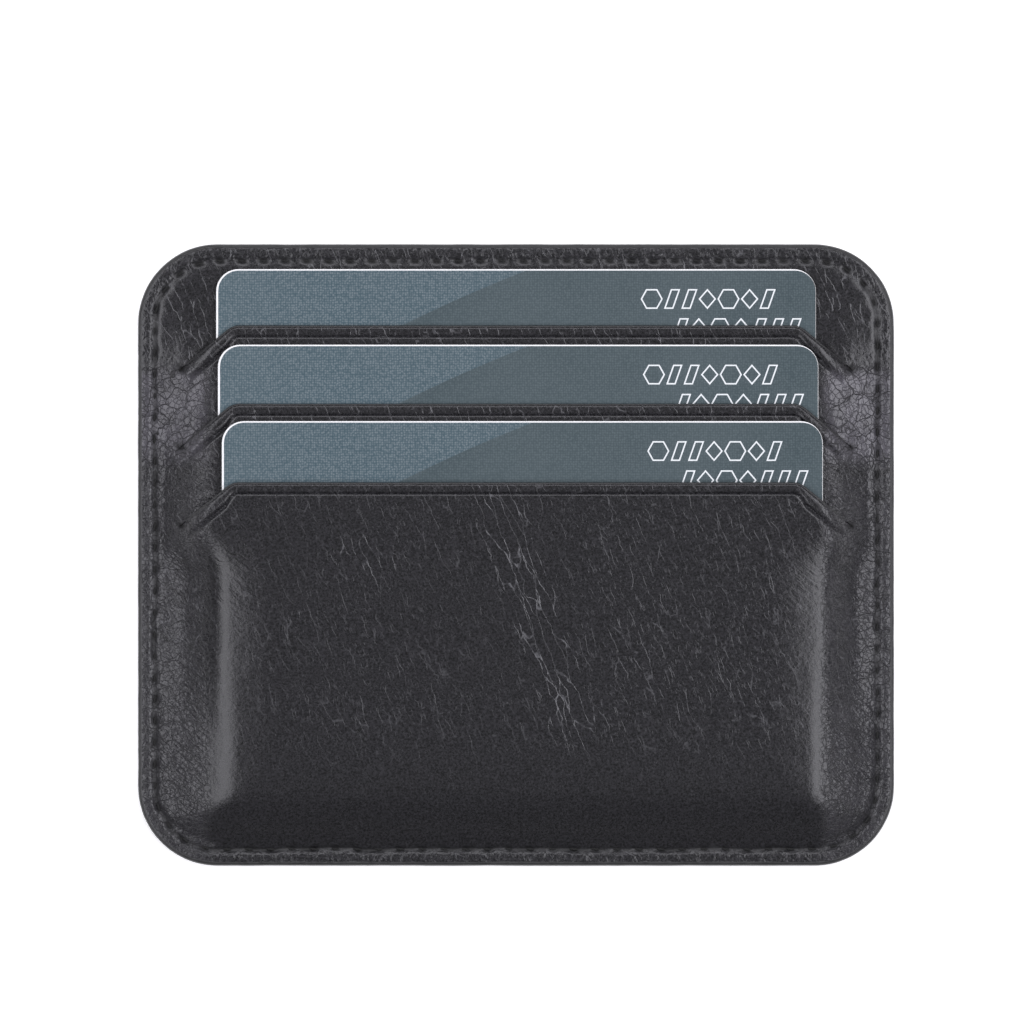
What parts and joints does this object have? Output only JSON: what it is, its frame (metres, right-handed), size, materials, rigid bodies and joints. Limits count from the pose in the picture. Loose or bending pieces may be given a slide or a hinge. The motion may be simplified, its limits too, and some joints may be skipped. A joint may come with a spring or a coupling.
{
  "type": "card holder",
  "caption": "Slim black leather card holder with slanted-end card slots, a card in each, turned edges with a painted bead, and a flat note pocket behind.",
  "frame": {"origin": "centre of the back face, on which the holder lies", "axes": "+X to the right and +Y towards the slot mouths when the front is seen from above, +Z out of the front"},
  "size_m": [0.108, 0.0888, 0.0079],
  "materials": {
    "leather": "smooth waxed black leather with a low sheen",
    "lining": "thin black woven fabric",
    "thread": "black bonded thread",
    "edge_paint": "black edge paint, satin",
    "card_plastic": "satin laminated card, grey-blue",
    "chip_contact": "gold-plated contact plate",
    "magnetic_stripe": "black magnetic tape"
  },
  "bodies": {
    "holder": {"front_panel": "leather", "back_panel": "leather", "back_lining": "lining", "note_pocket_divider": "lining", "rear_pocket_lining": "lining", "middle_pocket_lining": "lining", "front_pocket_lining": "lining", "painted_edge": "edge_paint", "upper_lip_paint": "edge_paint", "middle_lip_paint": "edge_paint", "lower_lip_paint": "edge_paint", "front_seam_thread": "thread", "back_seam_thread": "thread"},
    "rear_card_body": {"rear_card": "card_plastic", "rear_card_chip": "chip_contact", "rear_card_stripe": "magnetic_stripe"},
    "middle_card_body": {"middle_card": "card_plastic", "middle_card_chip": "chip_contact", "middle_card_stripe": "magnetic_stripe"},
    "front_card_body": {"front_card": "card_plastic", "front_card_chip": "chip_contact", "front_card_stripe": "magnetic_stripe"}
  },
  "joints": [
    {"name": "rear_card_slide", "type": "slide", "parent": "holder", "child": "rear_card_body", "axis": [0, 1, 0], "range_m": [0, 0.06]},
    {"name": "middle_card_slide", "type": "slide", "parent": "holder", "child": "middle_card_body", "axis": [0, 0.9999, 0.0122], "range_m": [0, 0.071]},
    {"name": "front_card_slide", "type": "slide", "parent": "holder", "child": "front_card_body", "axis": [0, 0.9997, 0.0244], "range_m": [0, 0.082]}
  ]
}
